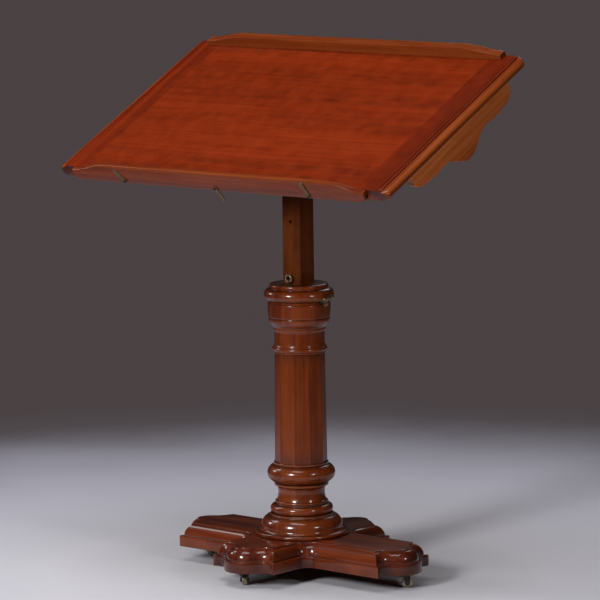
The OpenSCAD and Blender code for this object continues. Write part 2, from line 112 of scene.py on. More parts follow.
def make_floor():
    reach, sides = 2.4, 160
    mesh = bpy.data.meshes.new("floor")
    mesh.from_pydata(circle(reach, sides), [], [range(sides)])
    floor = bpy.data.objects.new("floor", mesh)
    scene.collection.objects.link(floor)
    material, tree, out = blank_material("floor")
    place = node_in(tree, "ShaderNodeTexCoord").outputs["Object"]
    flat = node_in(tree, "ShaderNodeVectorMath", {0: place}, operation="LENGTH")
    cloudy = node_in(tree, "ShaderNodeTexNoise", {"Vector": place, "Scale": 2.1, "Detail": 4.0})
    shift = maths(tree, "MULTIPLY_ADD", cloudy.outputs[0], 0.30, flat.outputs["Value"])
    far = maths(tree, "DIVIDE", shift, reach)
    # The floor colour is a painted pool of light: lighter near the stand and darker away from it,
    # as the lamps' light falls off.
    colour = ramp(tree, far, (0.06, (0.50, 0.49, 0.52)), (0.24, (0.63, 0.62, 0.67)),
                  (0.42, (0.53, 0.52, 0.60)), (0.58, (0.34, 0.33, 0.39)),
                  (0.74, (0.15, 0.14, 0.16)))
    skin = node_in(tree, "ShaderNodeBsdfPrincipled", {
        "Base Color": colour, "Roughness": 0.8, "Specular IOR Level": 0.2})
    dusk = node_in(tree, "ShaderNodeEmission", {"Color": (*wall_colour, 1)})
    away = ranged(tree, far, 0.56, 0.86, interpolation_type="SMOOTHSTEP")
    fade = node_in(tree, "ShaderNodeMixShader", {0: away, 1: skin.outputs[0], 2: dusk.outputs[0]})
    tree.links.new(fade.outputs[0], out.inputs[0])
    mesh.materials.append(material)


def make_room():
    """A grey wall to look at, and a dim brown room to light and reflect in the stand."""
    room = bpy.data.worlds.new("room")
    scene.world = room
    room.use_nodes = True
    tree = room.node_tree
    tree.nodes.clear()
    seen = node_in(tree, "ShaderNodeBackground", {"Color": (*wall_colour, 1)})
    dim = node_in(tree, "ShaderNodeBackground", {"Color": (0.020, 0.016, 0.015, 1)})
    straight = node_in(tree, "ShaderNodeLightPath").outputs["Is Camera Ray"]
    both = node_in(tree, "ShaderNodeMixShader",
                   {0: straight, 1: dim.outputs[0], 2: seen.outputs[0]})
    tree.links.new(both.outputs[0], tree.nodes.new("ShaderNodeOutputWorld").inputs[0])


def direction(azimuth, elevation):
    """The way out from the stand, azimuth 0 in front and 90 on its right, in degrees."""
    a, e = math.radians(azimuth), math.radians(elevation)
    return Vector((math.sin(a) * math.cos(e), -math.cos(a) * math.cos(e), math.sin(e)))


def soft_box(name, azimuth, elevation, away, size, power):
    """A square area light that faces the middle of the stand."""
    lamp = bpy.data.lights.new(name, "AREA")
    lamp.shape, lamp.size, lamp.size_y, lamp.energy = "RECTANGLE", size, size, power
    holder = bpy.data.objects.new(name, lamp)
    scene.collection.objects.link(holder)
    out = direction(azimuth, elevation)
    holder.location = Vector((0, axis_y, 0.45)) + out * away
    holder.rotation_euler = out.to_track_quat("Z", "Y").to_euler()
    holder.visible_camera = False


def make_camera():
    azimuth, elevation, away, roll = 41.02, 7.98, 6.638, math.radians(-0.77)
    aim = Vector((0, axis_y, 0.4769))
    back = direction(azimuth, elevation)
    right = Vector((0, 0, 1)).cross(back).normalized()
    up = back.cross(right)
    turned_right = right * math.cos(roll) + up * math.sin(roll)
    turned_up = up * math.cos(roll) - right * math.sin(roll)
    lens = bpy.data.cameras.new("camera")
    lens.lens, lens.sensor_width, lens.shift_x = 230.93, 36, 0.0016
    lens.clip_start, lens.clip_end = 0.1, 60
    camera = bpy.data.objects.new("camera", lens)
    scene.collection.objects.link(camera)
    turn = Matrix((turned_right, turned_up, back)).transposed().to_4x4()
    camera.matrix_world = Matrix.Translation(aim + back * away) @ turn
    scene.camera = camera


make_floor()
make_room()
scene.view_settings.view_transform = "Standard"
soft_box("left box", -75, 38, 3.2, 0.8, 11)
soft_box("low left box", -73, 19, 3.2, 0.5, 11)
soft_box("front box", 5, 20, 3.2, 0.65, 74)
soft_box("right box", 85, 19, 3.2, 0.42, 15)
soft_box("top box", 20, 72, 3.0, 1.8, 52)
soft_box("back box", 205, 34, 3.4, 1.2, 9)
make_camera()


# ---- Base ----------------------------------------------------------------------
# A cross of thick mahogany, sawn to a lobe between two hollows at each arm's end, with
# an upright edge and a quarter-round planed above it. The side arms run through.
def mixed(tree, factor, a, b):
    """The colour between a and b at a factor."""
    return node_in(tree, "ShaderNodeMix", {0: factor, 6: a, 7: b}, data_type="RGBA").outputs[2]


def new_group(kind, name, inputs, outputs):
    """An empty node group with these sockets, what it is given and what it puts out."""
    group = bpy.data.node_groups.new(name, kind)
    for way, sockets in (("INPUT", inputs), ("OUTPUT", outputs)):
        for label, sort in sockets.items():
            group.interface.new_socket(label, in_out=way, socket_type="NodeSocket" + sort)
    return (group, group.nodes.new("NodeGroupInput").outputs,
            group.nodes.new("NodeGroupOutput").inputs)


def wood_figure():
    """Shader group: mahogany with its grain along the first axis, in metres."""
    group, given, result = new_group(
        "ShaderNodeTree", "mahogany figure",
        {"Vector": "Vector", "Dark": "Color", "Middle": "Color", "Light": "Color",
         "Pores": "Float", "Ribbon": "Float", "Along": "Vector"},
        {"Color": "Color", "Roughness": "Float", "Height": "Float"})
    end_colour, pore_colour = (0.022, 0.006, 0.003, 1), (0.028, 0.008, 0.004, 1)

    def noise(vector, stretch, detail, rough=0.55):
        spread = node_in(group, "ShaderNodeVectorMath", {0: vector, 1: stretch},
                         operation="MULTIPLY")
        return node_in(group, "ShaderNodeTexNoise", {
            "Vector": spread.outputs[0], "Scale": 1.0, "Detail": detail,
            "Roughness": rough}).outputs[0]

    bend = noise(given["Vector"], (2.2, 7.0, 7.0), 2.0)
    sway = node_in(group, "ShaderNodeVectorMath", {0: (0, 0.022, 0.022), 1: given["Vector"]},
                   operation="ADD")
    lean = node_in(group, "ShaderNodeVectorMath", {0: (0, 0.022, 0.016), "Scale": bend},
                   operation="SCALE")
    vector = node_in(group, "ShaderNodeVectorMath", {0: sway.outputs[0], 1: lean.outputs[0]},
                     operation="ADD").outputs[0]
    broad = noise(vector, (0.55, 20.0, 20.0), 2.5)
    streak = noise(vector, (2.2, 170.0, 170.0), 4.0, 0.65)
    ribbon = noise(vector, (9.0, 60.0, 50.0), 2.0)
    pore = noise(vector, (60.0, 1500.0, 1500.0), 1.0)
    streaked = maths(group, "MULTIPLY_ADD", streak, 0.75, broad)
    ribbed = maths(group, "MULTIPLY_ADD", maths(group, "SUBTRACT", ribbon, 0.5),
                   given["Ribbon"], streaked)
    tone = ranged(group, ribbed, 0.66, 1.09)
    whole = mixed(group, ranged(group, tone, 0.0, 0.5), given["Dark"], given["Middle"])
    whole = mixed(group, ranged(group, tone, 0.5, 1.0), whole, given["Light"])
    normal = node_in(group, "ShaderNodeNewGeometry").outputs["Normal"]
    facing = node_in(group, "ShaderNodeVectorMath", {0: normal, 1: given["Along"]},
                     operation="DOT_PRODUCT").outputs["Value"]
    end_grain = ranged(group, maths(group, "ABSOLUTE", facing), 0.65, 0.95, to_high=0.75)
    whole = mixed(group, end_grain, whole, end_colour)
    depth = maths(group, "MULTIPLY", ranged(group, pore, 0.36, 0.28), given["Pores"])
    whole = mixed(group, maths(group, "MULTIPLY", depth, 0.75), whole, pore_colour)
    rough = maths(group, "MULTIPLY_ADD", streak, 0.20, 0.20)
    fine = maths(group, "MULTIPLY_ADD", streak, 0.35, maths(group, "MULTIPLY", depth, -0.8))
    for name, value in (("Color", whole), ("Roughness", rough), ("Height", fine)):
        group.links.new(value, result[name])
    return group


def wear_and_hollow_shade():
    """Shader group: rubbed arrises, and hollows darkened by dirt and by painted shade."""
    group, given, result = new_group(
        "ShaderNodeTree", "wear and hollow shade",
        {"Color": "Color", "Roughness": "Float", "Rubbed": "Color", "Dirt and shade": "Color",
         "Amount": "Float"},
        {"Color": "Color", "Roughness": "Float"})
    place = node_in(group, "ShaderNodeTexCoord").outputs["Object"]
    point = node_in(group, "ShaderNodeNewGeometry").outputs["Pointiness"]
    patch = node_in(group, "ShaderNodeTexNoise", {
        "Vector": place, "Scale": 38.0, "Detail": 4.0}).outputs[0]
    raised = maths(group, "MULTIPLY", ranged(group, point, 0.515, 0.60), patch)
    rub = maths(group, "MULTIPLY", raised, given["Amount"])
    # Hollows are darkened here: partly dirt, and partly painted shade where less light reaches
    # them.
    sunk = maths(group, "MULTIPLY", ranged(group, point, 0.49, 0.42), given["Amount"])
    dirt_and_shade = maths(group, "MULTIPLY", sunk, 0.8)
    worn = mixed(group, rub, given["Color"], given["Rubbed"])
    group.links.new(mixed(group, dirt_and_shade, worn, given["Dirt and shade"]), result["Color"])
    smear = maths(group, "MULTIPLY_ADD", patch, 0.10, given["Roughness"])
    group.links.new(maths(group, "MULTIPLY_ADD", dirt_and_shade, 0.3, smear), result["Roughness"])
    return group


figure_group = wood_figure()
wear_shade_group = wear_and_hollow_shade()
plain_tones = ((0.040, 0.005, 0.0014), (0.095, 0.013, 0.0028), (0.170, 0.030, 0.0060))


def polished_wood(name, along, across, start, tones=plain_tones, pores=0.7, ribbon=0.5,
                  coat=0.45, coat_rough=0.08, swap_beyond=None, dark_below=None,
                  bare_side=None):
    """French-polished mahogany with its grain along one direction and its face across
    another. The grain turns beyond one distance from the axis (swap_beyond), the wood
    is painted darker under a height (dark_below) as painted shade along its lower edge,
    and it is unpolished where it faces bare_side."""
    dark, middle, light = tones
    # The first colour is painted shade for the wood under dark_below; the second is bare wood.
    low_shade_colour, raw_colour = (0.020, 0.003, 0.0015, 1), (0.130, 0.055, 0.026, 1)
    material, tree, out = blank_material(name)
    place = node_in(tree, "ShaderNodeTexCoord").outputs["Object"]
    along, across = Vector(along).normalized(), Vector(across).normalized()
    turn = Matrix((along, across, along.cross(across))).to_euler("XYZ")
    vector = node_in(tree, "ShaderNodeMapping", {
        "Vector": place, "Rotation": turn, "Location": start}).outputs[0]
    if swap_beyond is not None:
        x, y, z = node_in(tree, "ShaderNodeSeparateXYZ", {0: place}).outputs
        off = maths(tree, "ABSOLUTE", maths(tree, "SUBTRACT", y, axis_y))
        crossed = node_in(tree, "ShaderNodeCombineXYZ", {0: y, 1: x, 2: z}).outputs[0]
        vector = node_in(tree, "ShaderNodeMix", {
            0: maths(tree, "GREATER_THAN", off, swap_beyond), 4: vector, 5: crossed},
            data_type="VECTOR").outputs[1]
    figure = node_in(tree, "ShaderNodeGroup", {
        "Vector": vector, "Dark": (*dark, 1), "Middle": (*middle, 1), "Light": (*light, 1),
        "Along": along, "Pores": pores, "Ribbon": ribbon}, node_tree=figure_group)
    colour, rough, polish = figure.outputs["Color"], figure.outputs["Roughness"], coat
    if dark_below is not None:
        height = node_in(tree, "ShaderNodeSeparateXYZ", {0: place}).outputs[2]
        # Painted shade: the wood goes towards the dark colour below dark_below.
        low_shade = ranged(tree, height, dark_below + 2 * mm, dark_below - 4 * mm, to_high=0.62)
        colour = mixed(tree, low_shade, colour, low_shade_colour)
    if bare_side is not None:
        normal = node_in(tree, "ShaderNodeNewGeometry").outputs["Normal"]
        facing = node_in(tree, "ShaderNodeVectorMath", {0: normal, 1: bare_side},
                         operation="DOT_PRODUCT").outputs["Value"]
        bare = ranged(tree, facing, 0.4, 0.8)
        colour = mixed(tree, maths(tree, "MULTIPLY", bare, 0.55), colour, raw_colour)
        rough = maths(tree, "MULTIPLY_ADD", bare, 0.35, rough)
        polish = maths(tree, "MULTIPLY_ADD", bare, -coat, coat)
    # The dark colour given for the hollows is dirt and painted shade in the mouldings' hollows.
    worn_and_shaded = node_in(tree, "ShaderNodeGroup", {
        "Color": colour, "Roughness": rough, "Amount": 0.8, "Dirt and shade": (0.012, 0.004, 0.002, 1),
        "Rubbed": (light[0] * 1.5, light[1] * 1.6, light[2] * 1.8, 1)}, node_tree=wear_shade_group)
    bump = node_in(tree, "ShaderNodeBump", {
        "Height": figure.outputs["Height"], "Strength": 0.25, "Distance": 0.0004})
    skin = node_in(tree, "ShaderNodeBsdfPrincipled", {
        "Base Color": worn_and_shaded.outputs["Color"], "Roughness": worn_and_shaded.outputs["Roughness"],
        "Normal": bump.outputs[0], "Coat Weight": polish, "Coat Roughness": coat_rough,
        "Coat IOR": 1.55, "IOR": 1.45, "Specular IOR Level": 0.15})
    tree.links.new(skin.outputs[0], out.inputs[0])
    return material


def new_piece(name, vertices, faces, sharp=32):
    """A mesh object at the origin, with its doubles merged, outward faces and creased edges."""
    mesh = bpy.data.meshes.new(name)
    mesh.from_pydata([tuple(v) for v in vertices], [], faces)
    work = bmesh.new()
    work.from_mesh(mesh)
    bmesh.ops.remove_doubles(work, verts=work.verts, dist=2e-6)
    bmesh.ops.recalc_face_normals(work, faces=work.faces)
    work.to_mesh(mesh)
    work.free()
    mesh.shade_smooth()
    mesh.set_sharp_from_angle(angle=math.radians(sharp))
    made = bpy.data.objects.new(name, mesh)
    scene.collection.objects.link(made)
    return made


def fit_piece(made, material, body, slot, *nodes):
    """Gives a piece its finish, its body and the CAD nodes that it stands for."""
    made.data.materials.clear()
    made.data.materials.append(material)
    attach(made, body)
    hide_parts(*nodes)


def piece_from(work, name, place, sharp):
    """A piece from a bmesh, moved to its place."""
    work.verts.index_update()
    vertices = [place @ v.co for v in work.verts]
    faces = [[v.index for v in face.verts] for face in work.faces]
    work.free()
    return new_piece(name, vertices, faces, sharp)


def between(rings, count, first=0):
    """Faces between rings of count points that follow each other from point first."""
    return [(first + ring * count + k, first + ring * count + (k + 1) % count,
             first + (ring + 1) * count + (k + 1) % count, first + (ring + 1) * count + k)
            for ring in range(rings - 1) for k in range(count)]


def arc(centre, radius, start, end, steps):
    """Points along an arc, with its angles in degrees."""
    angles = [math.radians(start + (end - start) * k / steps) for k in range(steps + 1)]
    return [(centre[0] + radius * math.cos(a), centre[1] + radius * math.sin(a)) for a in angles]


def make_base():
    low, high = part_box("base_platform")
    reach_x, reach_y = high.x, (high.y - low.y) / 2
    arm_half, lobe, cove, inner, lobe_angle = 68 * mm, 40 * mm, 24 * mm, 20 * mm, 60

    def arm_end(reach, inset):
        centre = (reach - lobe, 0)
        bend = math.radians(lobe_angle)
        hollow = (centre[0] + (lobe + cove) * math.cos(bend), (lobe + cove) * math.sin(bend))
        corner = 180 - math.degrees(math.asin((arm_half - inset - hollow[1]) / (cove + inset)))
        return (arc(centre, lobe - inset, 0, lobe_angle, 14)
                + arc(hollow, cove + inset, 180 + lobe_angle, corner, 12))

    def outline(inset):
        quarter = (arm_end(reach_x, inset)
                   + arc((arm_half + inner, arm_half + inner), inner + inset, 270, 180, 10)
                   + [(y, x) for x, y in reversed(arm_end(reach_y, inset))])
        half = quarter + [(-x, y) for x, y in reversed(quarter)][1:]
        return half[:-1] + [(-x, -y) for x, y in half[:-1]]

    # The edge from the floor side up, as (inset, rise) in millimetres: a softened upright,
    # a small step, the quarter-round and the fillet on top of it.
    upright, round_in, round_up, round_out = 20, 4.5, 20, 15.5
    edge = [(1.8, 0), (0.6, 0.4), (0, 1.6), (0, 18.6), (0.3, 19.5), (1.1, upright), (4.0, upright),
            (round_in, upright + 0.4)]
    edge += [(round_in + round_out * (1 - math.cos(a)), upright + round_up * math.sin(a))
             for a in (math.radians(4 + 76 * k / 14) for k in range(15))]
    edge += [(17.3, 39.9), (17.5, 40.2), (17.5, 41.5), (17.7, 41.9), (18.2, 42)]
    vertices = [(x, axis_y + y, low.z + rise * mm)
                for inset, rise in edge for x, y in outline(inset * mm)]
    count = len(outline(0))
    rim = len(vertices)
    faces = between(len(edge), count) + [[rim - count + k for k in range(count)]]

    recess, sides, deep = 20 * mm, 64, 7 * mm
    vertices += circle(recess, sides, low.z) + circle(recess, sides, low.z + deep)
    faces += between(2, sides, rim) + [[rim + sides + k for k in range(sides)]]
    under = bmesh.new()
    place = list(range(count)) + list(range(rim, rim + sides))
    points = [under.verts.new(vertices[k]) for k in place]
    loops = [(k, (k + 1) % count) for k in range(count)]
    loops += [(count + k, count + (k + 1) % sides) for k in range(sides)]
    edges = [under.edges.new((points[a], points[b])) for a, b in loops]
    bmesh.ops.triangle_fill(under, edges=edges, use_beauty=True)
    under.verts.index_update()
    faces += [[place[v.index] for v in face.verts] for face in under.faces]
    under.free()
    # The base's upright edge is painted darker below the quarter-round: painted shade.
    wood = polished_wood("base mahogany", (1, 0, 0), (0, 1, 0), start=(0.3, 0.1, 0.2),
                         swap_beyond=arm_half, ribbon=0.4, coat=0.6, coat_rough=0.10,
                         dark_below=low.z + upright * mm, bare_side=(0, 0, -1))
    fit_piece(new_piece("base_cross", vertices, faces), wood, "stand", "base_wood",
              "base_platform")


make_base()


# ---- Column --------------------------------------------------------------------
# Three turned pieces of mahogany glued tenon in socket: a moulded foot, a shaft that is
# planed to ten tapering flats between its beads, and a capital with a square mouth.
def turned(name, rings, turn=0.0):
    """A closed solid round the column from (shape, size, height) rings, in millimetres.
    Shapes: o is round, s is square and f has ten softened flats. Ends are capped."""
    sides, flats, softened = 360, 10, 0.25

    def radius(shape, size, degrees):
        a = math.radians(degrees)
        if shape == "s":
            return size / max(abs(math.cos(a)), abs(math.sin(a)))
        if shape == "f":
            past = math.radians((degrees - turn) % (360 / flats) - 180 / flats)
            return min(size * math.cos(math.pi / flats) / math.cos(past), size - softened)
        return size

    vertices = []
    for shape, size, height in rings:
        for k in range(sides):
            r, a = radius(shape, size, k) * mm, math.radians(k)
            vertices.append((r * math.cos(a), axis_y + r * math.sin(a), height * mm))
    faces = between(len(rings), sides) + [list(range(sides))]
    faces.append([len(vertices) - sides + k for k in range(sides)])
    return new_piece(name, vertices, faces, sharp=28)


def flowing(points, steps=5):
    """More points on a smooth curve through these, for a hollow or a double curve."""
    ends = [points[0]] + list(points) + [points[-1]]
    out = []
    for a, b, c, d in zip(ends, ends[1:], ends[2:], ends[3:]):
        for k in range(steps):
            t = k / steps
            out.append(tuple(0.5 * (2 * q + (r - p) * t + (2 * p - 5 * q + 4 * r - s) * t * t
                                    + (3 * q - p - 3 * r + s) * t ** 3)
                             for p, q, r, s in zip(a, b, c, d)))
    return out + [tuple(points[-1])]


def round_rings(points, height):
    """Round rings from a profile of (radius, rise) above a height in millimetres."""
    return [("o", r, height + z) for r, z in points]


def make_column():
    foot, foot_top = foot_low.z / mm, foot_high.z / mm
    neck, top = (corner.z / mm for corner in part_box("capital"))
    socket, floor = 20.3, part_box("post")[0].z / mm - 15
    wood = polished_wood("column mahogany", (0, 0, 1), (1, 0, 0), start=(0.1, 0.37, 0.21),
                         tones=((0.080, 0.0110, 0.0014), (0.128, 0.0205, 0.0024),
                                (0.172, 0.032, 0.0038)),
                         ribbon=0.7, coat=0.6, coat_rough=0.13)

    foot_profile = ([(77.0, 0), (77.5, 0.3)] + arc((77.5, 4), 4, -80, 80, 14)
                    + arc((78, 14), 7, 250, 190, 9) + arc((50, 14), 21, 0, 65, 16)
                    + [(57.6, 33.2), (55.3, 33.5), (55, 33.9), (55, 36), (54.6, 36.5), (52, 36.8)]
                    + arc((46, 44.5), 8.5, -60, 75, 16) + [(44.8, 53.2), (44.5, 53.6), (44.5, 54.6)]
                    + arc((43.5, 57), 2.5, -60, 70, 8)
                    + flowing([(43.0, 60.2), (41.6, 65), (40.6, 72), (40.7, 77), (41.6, 81.5),
                               (44.2, 85.3)])
                    + [(46.6, 85.7), (47, 86.1), (47, 88.8), (46.6, 89.3), (45.5, 90)])
    made = turned("turned_foot", round_rings(foot_profile, foot))
    fit_piece(made, wood, "stand", "column_wood", "column_foot")

    shaft = round_rings([(44.6, 0.2), (45.4, 0.6)] + arc((43, 17), 16, -78, 78, 30)
                        + [(47.1, 33), (47.5, 33.4), (47.5, 36), (47.1, 36.4)], foot_top)
    low_flat, high_flat, steps = foot_top + 36.6, neck - 44, 12
    shaft += [("f", 45.7 - 2.0 * k / steps, low_flat + (high_flat - low_flat) * k / steps)
              for k in range(steps + 1)]
    shaft += round_rings([(44.8, -43.8), (45.4, -43.2), (45.5, -42)]
                         + arc((43.6, -37), 4.2, -62, 62, 14) + [(45.5, -32.4)]
                         + flowing([(45.2, -31.6), (44, -29.5), (43.4, -22), (43.5, -14),
                                    (43.7, -7.5), (44.3, -5.2)])
                         + [(44.7, -4.6), (44.9, -4.2), (44.9, -0.7), (44.3, 0)], neck)
    shaft += [("s", socket, neck), ("s", socket, floor)]
    made = turned("ten_sided_shaft", shaft, turn=7)
    fit_piece(made, wood, "stand", "column_wood", "column_shaft")

    cup = ([("s", socket, neck)] + round_rings([(44.6, -75.9), (45, -75.4)]
           + arc((36.5, -60), 16.5, -56, -2, 14)
           + [(52.8, -59.6), (51.8, -59.2), (51.6, -58.6), (51.9, -58.0), (53.0, -57.6)]
           + flowing([(53.3, -57), (53.9, -48), (54.4, -40), (54.6, -36)])
           + [(54.6, -34.9), (54.4, -34.2), (53.8, -33.8), (52.4, -33.4), (51.9, -32.8),
              (51.8, -29.6)]
           + arc((49.8, -18.4), 10.8, -82, 82, 26)
           + [(51.0, -7.5), (51.2, -7.0), (51, -4.2)] + arc((47.4, -3.6), 3.6, 0, 88, 8)
           + [(30, 0)], top)
           + [("s", socket + 0.5, top), ("s", socket, top - 0.6), ("s", socket, neck)])
    made = turned("capital_cup", cup)
    fit_piece(made, wood, "stand", "column_wood", "capital")


make_column()


# ---- Post ----------------------------------------------------------------------
# A square mahogany bar with chamfered edges and bored cross holes. It slides in the
# column, and a ring pin through one hole rests on the capital.
def finish_node(node, material):
    """Gives a CAD node its finish."""
    node.data.materials.clear()
    node.data.materials.append(material)


post_wood = polished_wood("post mahogany", (0, 0, 1), (1, 0, 0), start=(0.4, 0.13, 0.02),
                          tones=((0.016, 0.0030, 0.0007), (0.050, 0.0094, 0.0016),
                                 (0.095, 0.021, 0.0034)),
                          ribbon=0.4, coat=0.2)
finish_node(frame["nodes"]["post"], post_wood)


# ---- Desk board ----------------------------------------------------------------
# A polished mahogany panel with its grain from side to side, tongued into an end board
# at each side. The end board has a scratched line and a thumb moulding along its edge.
desk_up = next(m["axis"] for m in frame["record"]["mounts"] if m["name"] == "desk_top")
tilt = math.atan2(-desk_up[1], desk_up[2])
pivot_low, pivot_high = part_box("pivot_washers")
pivot = Vector((0, (pivot_low.y + pivot_high.y) / 2, (pivot_low.z + pivot_high.z) / 2))
desk_frame = Matrix.Translation(pivot) @ Matrix.Rotation(tilt, 4, "X")
slope = desk_frame.to_3x3() @ Vector((0, 1, 0))
desk_normal = desk_frame.to_3x3() @ Vector((0, 0, 1))
board_half, half_depth, end_width = 370 * mm, 207.5 * mm, 62 * mm
board_low, board_high = 34 * mm, 53 * mm
red_tones = ((0.055, 0.0042, 0.0005), (0.115, 0.0085, 0.0008), (0.190, 0.0190, 0.0018))
edge_tones = ((0.090, 0.012, 0.002), (0.190, 0.032, 0.005), (0.300, 0.065, 0.011))


def on_desk(points):
    """Places for points given across, up the slope and square to the desk, in metres."""
    return [desk_frame @ Vector(p) for p in points]


def board_wood(name, along, across, start):
    """The red mahogany of the desk, waxed on its face and bare beneath."""
    return polished_wood(name, along, across, start, tones=red_tones, coat=0.3,
                         coat_rough=0.25, ribbon=0.12, bare_side=-desk_normal)


def make_desk_end(side, name, node):
    inner, top, nose, line, step = board_half - end_width, board_high, 8.25, 17.0, 13.0

    def face_point(inset, drop):
        return board_half - inset * mm, top - drop * mm

    # Round the section: the inner joint, the scratched line, the step and the moulding.
    section = ([(inner, board_low), (inner, top - 0.4 * mm), (inner + 0.4 * mm, top)]
               + [face_point(line + 1.6, 0), face_point(line + 1.2, 1.0),
                  face_point(line + 0.4, 1.0), face_point(line, 0)]
               + [face_point(step + 0.6, 0), face_point(step + 0.1, 0.3), face_point(step, 2.2),
                  face_point(step - 0.5, 2.9), face_point(step - 1.5, 2.8)]
               + arc((board_half - nose * mm, board_low + nose * mm), nose * mm, 100, -86, 22))
    corner, steps = 9 * mm, 9
    turns = (math.radians(90 * k / steps) for k in range(steps, -1, -1))
    stations = [(-half_depth + corner * (1 - math.sin(a)), corner * (1 - math.cos(a)))
                for a in turns]
    stations += [(-v, trim) for v, trim in reversed(stations)]
    vertices = []
    for v, trim in stations:
        for u, w in section:
            near = max(0.0, (u - inner) / end_width)
            vertices.append((side * (u - trim * near), v, w))
    count = len(section)
    faces = between(len(stations), count) + [list(range(count))]
    faces.append([len(vertices) - count + k for k in range(count)])
    made = new_piece(name, on_desk(vertices), faces)
    wood = board_wood(name + " mahogany", slope, (side, 0, 0), (0.1 * side, 0.3, 0.05))
    fit_piece(made, wood, "desk", "end_wood", node)
    made.data.materials.append(polished_wood(
        name + " moulding", slope, (side, 0, 0), start=(0.4, 0.1 * side, 0.3),
        tones=edge_tones, ribbon=0.3, coat=0.4))
    for face in made.data.polygons:
        if abs(face.center.x) > board_half - (step + 0.05) * mm:
            face.material_index = 1


finish_node(frame["nodes"]["desk_panel"],
            board_wood("panel mahogany", (1, 0, 0), slope, (0.2, 0.05, 0.4)))
make_desk_end(-1, "end_board_left", "desk_end_left")
make_desk_end(1, "end_board_right", "desk_end_right")


# ---- Ledge, rail and aprons ----------------------------------------------------
# Sawn mahogany strips with softened arrises, glued and screwed to the board: a ledge
# that holds the book, a rail along the back and a scrolled apron under each side.
def sawn_board(name, outline, thick, place, soften=1.2 * mm):
    """A flat board from its outline, sawn to a thickness and with rounded arrises."""
    work = bmesh.new()
    front = [work.verts.new((x, y, 0)) for x, y in outline]
    back = [work.verts.new((x, y, thick)) for x, y in outline]
    count = len(outline)
    caps = [work.faces.new(front), work.faces.new(list(reversed(back)))]
    for k in range(count):
        n = (k + 1) % count
        work.faces.new((front[n], front[k], back[k], back[n]))
    bmesh.ops.recalc_face_normals(work, faces=work.faces)
    rim = [e for f in caps for e in f.edges]
    bmesh.ops.bevel(work, geom=rim, offset=soften, offset_type="OFFSET", segments=3, profile=0.5,
                    affect="EDGES", clamp_overlap=True)
    return piece_from(work, name, place, sharp=40)


def fall(x, run):
    """A smooth fall from 1 to 0 as x goes from 0 to run."""
    return 0.5 + 0.5 * math.cos(math.pi * min(max(x / run, 0), 1))


def strip_outline(half, full, end, run, corner):
    """The face of a strip whose top falls in a double curve at both ends."""
    steps = 24
    right = [(half - run + run * k / steps, end + (full - end) * fall(run * k / steps, run))
             for k in range(steps + 1)]
    low = arc((half - corner, corner), corner, 270, 360, 8)
    return [(-x, y) for x, y in reversed(low)] + low + right[::-1] + [(-x, y) for x, y in right]


def desk_plane(v, w):
    """The face of a strip that stands across the desk: x along it, y up from the board."""
    stand = Matrix(((1, 0, 0), (0, 0, -1), (0, 1, 0))).to_4x4()
    return desk_frame @ Matrix.Translation((0, v, w)) @ stand


strip_tones = ((0.070, 0.009, 0.0016), (0.140, 0.021, 0.0034), (0.215, 0.042, 0.0075))
strip_wood = polished_wood("strip mahogany", (1, 0, 0), desk_normal, start=(0.6, 0.2, 0.3),
                           tones=strip_tones, coat=0.35, ribbon=0.2)
ledge_thick, rail_thick, strip_run = 10 * mm, 16 * mm, 82 * mm
made = sawn_board("book_ledge", strip_outline(328 * mm, 33 * mm, 19 * mm, strip_run, 10 * mm),
                  ledge_thick, desk_plane(-half_depth, board_low), soften=1.6 * mm)
fit_piece(made, strip_wood, "desk", "strip_wood", "front_ledge")
made = sawn_board("top_rail", strip_outline(332 * mm, 20 * mm, 9 * mm, strip_run, 0.5 * mm),
                  rail_thick, desk_plane(half_depth, board_high), soften=1.6 * mm)
fit_piece(made, strip_wood, "desk", "strip_wood", "back_rail")


def apron_outline():
    half, lobe_run, end_r, waist, drop, nib = 146, 62, 26, 31, 58, 9
    steps = 160
    points = []
    for k in range(steps + 1):
        v = -half + 2 * half * k / steps
        u, span = abs(v), half - end_r - lobe_run
        if u < lobe_run:
            deep = waist + (drop - waist) * fall(u, lobe_run)
        elif u < half - end_r:
            past = u - lobe_run
            deep = waist + 2.5 * (1 - fall(2 * min(past, span - past), span))
        else:
            deep = nib + (waist - nib) * math.sqrt(max(1 - ((u - half + end_r) / end_r) ** 2, 0))
        points.append((v * mm, -deep * mm))
    return points + [(half * mm, 0), (-half * mm, 0)]


apron_inner, apron_thick, apron_back = 349 * mm, 15 * mm, 10 * mm
apron_tones = ((0.310, 0.058, 0.012), (0.480, 0.108, 0.022), (0.620, 0.170, 0.038))
on_edge = Matrix(((0, 0, 1), (1, 0, 0), (0, 1, 0))).to_4x4()
for side, name, node in ((-1, "left_apron", "side_apron_left"),
                         (1, "right_apron", "side_apron_right")):
    across = apron_inner if side > 0 else -apron_inner - apron_thick
    place = desk_frame @ Matrix.Translation((across, apron_back, board_low)) @ on_edge
    made = sawn_board(name, apron_outline(), apron_thick, place)
    wood = polished_wood(name + " mahogany", slope, desk_normal, start=(0.2 * side, 0.7, 0.4),
                         tones=apron_tones, coat=0.25, ribbon=0.3)
    fit_piece(made, wood, "desk", "apron_wood", node)

bearer_wood = polished_wood("bearer mahogany", slope, desk_normal, start=(0.5, 0.5, 0.1),
                            tones=((0.060, 0.018, 0.008), (0.125, 0.040, 0.015),
                                   (0.20, 0.075, 0.030)), coat=0.1)
for node in ("bearer_left", "bearer_right"):
    finish_node(frame["nodes"][node], bearer_wood)


